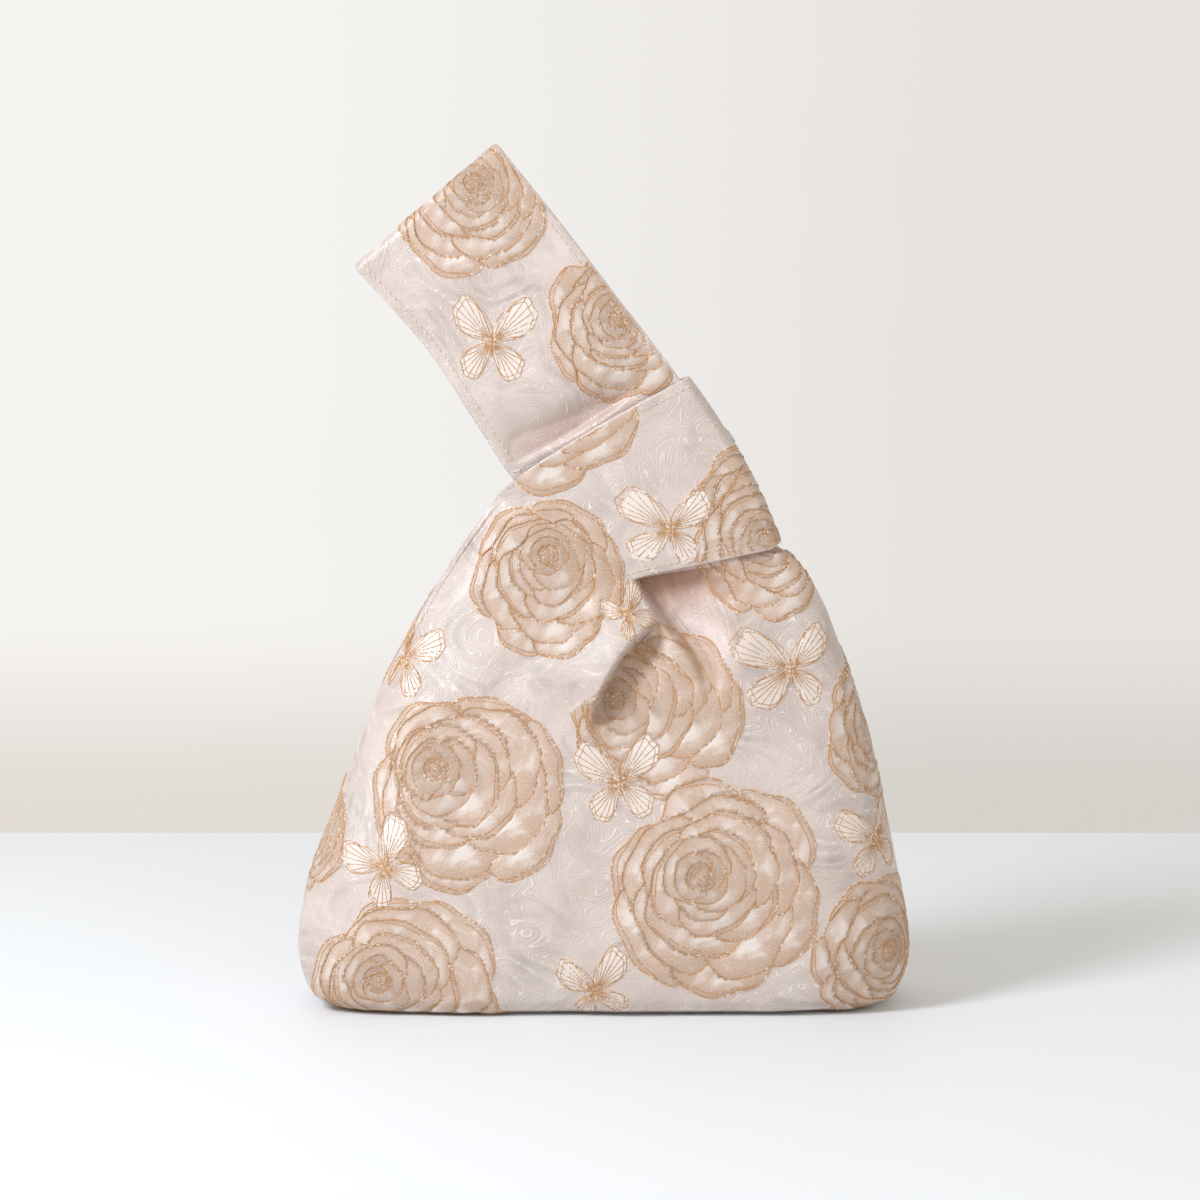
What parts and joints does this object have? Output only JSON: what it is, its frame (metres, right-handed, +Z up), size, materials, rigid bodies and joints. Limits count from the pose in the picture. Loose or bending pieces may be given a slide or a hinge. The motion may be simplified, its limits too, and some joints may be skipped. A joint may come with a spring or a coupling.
{
  "type": "knot bag",
  "caption": "Soft lined brocade knot bag on a boxed base, its long strap drawn through the loop of its short strap to close the mouth.",
  "frame": {"origin": "middle of the base, on the surface it stands on", "axes": "+X to the right as seen from the front, +Y to the back, +Z up towards the long strap's fold"},
  "size_m": [0.244, 0.0918, 0.3413],
  "materials": {
    "brocade": "woven jacquard with a soft satin sheen",
    "lining": "plain satin"
  },
  "bodies": {
    "root": {"front_panel": "brocade", "back_panel": "brocade", "front_lining": "lining", "back_lining": "lining"}
  },
  "joints": []
}
